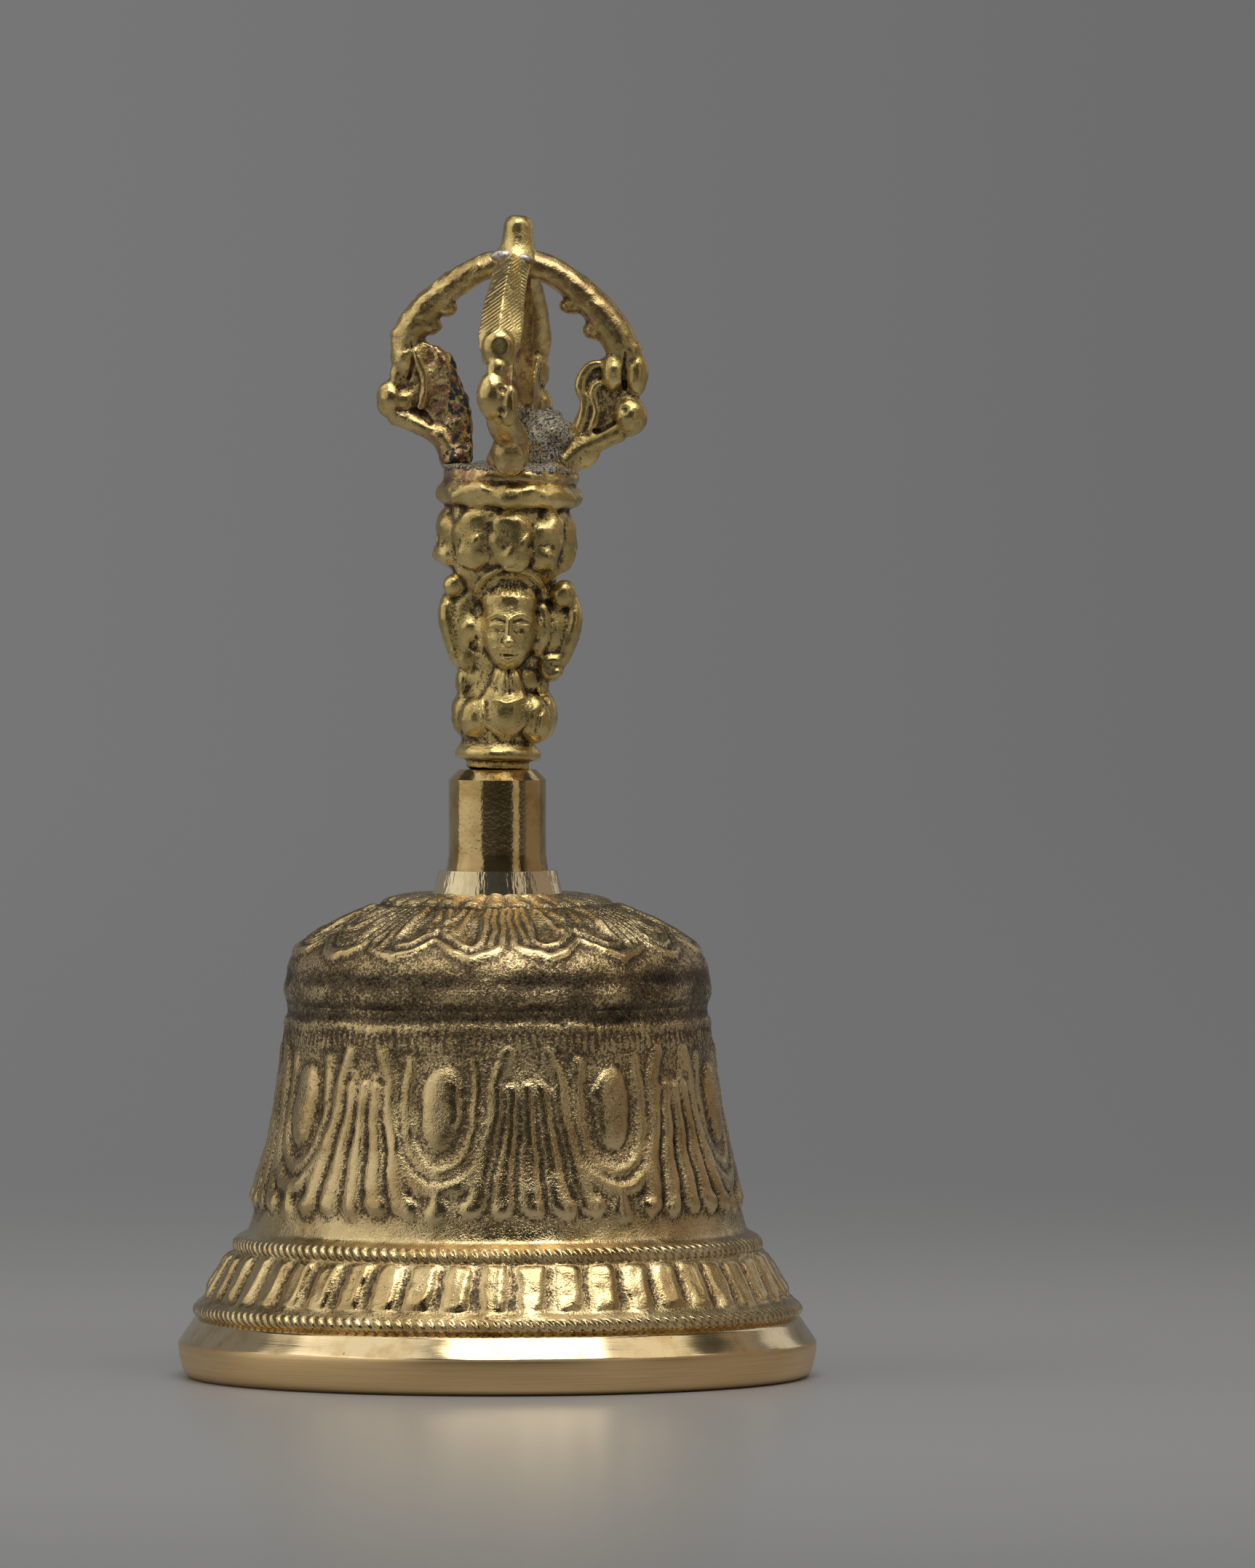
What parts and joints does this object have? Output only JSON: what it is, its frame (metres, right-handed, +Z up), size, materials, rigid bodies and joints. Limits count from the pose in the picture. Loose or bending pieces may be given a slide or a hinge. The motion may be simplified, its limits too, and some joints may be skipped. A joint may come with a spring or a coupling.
{
  "type": "tibetan hand bell",
  "caption": "Tibetan hand bell with a flared, ornamented cast cup, a head and lotus handle with a curved prong crown, and a hanging clapper inside.",
  "frame": {"origin": "centre of the mouth rim on the surface that the bell stands on", "axes": "+Z up the handle, -Y towards the side with the face, +X to the right of the face"},
  "size_m": [0.0952, 0.0952, 0.1718],
  "materials": {
    "cast_brass": "sand cast, dark patina in the hollows, worn bright on the high spots",
    "turned_brass": "turned and polished",
    "solder": "satin silver solder",
    "steel": "plain steel wire and fastener",
    "forged_iron": "dark forged iron"
  },
  "bodies": {
    "bell": {"bell_cup": "cast_brass", "crown_collar": "turned_brass", "neck_sleeve": "turned_brass", "handle_casting": "cast_brass", "prong_front": "cast_brass", "prong_back": "cast_brass", "prong_left": "cast_brass", "prong_right": "cast_brass", "centre_prong": "cast_brass", "solder_joint": "solder", "eye_bolt": "steel", "lock_nut": "steel", "washer": "steel"},
    "link": {"clapper_link": "steel"},
    "clapper": {"clapper_shank": "forged_iron", "clapper_bob": "forged_iron"}
  },
  "joints": [
    {"name": "link_swing", "type": "hinge", "parent": "bell", "child": "link", "pos_m": [0, 0, 0.056], "axis": [1, 0, 0], "range_deg": [-16, 16]},
    {"name": "clapper_swing", "type": "hinge", "parent": "link", "child": "clapper", "pos_m": [0, 0, 0.0508], "axis": [0, 1, 0], "range_deg": [-38, 38]}
  ]
}
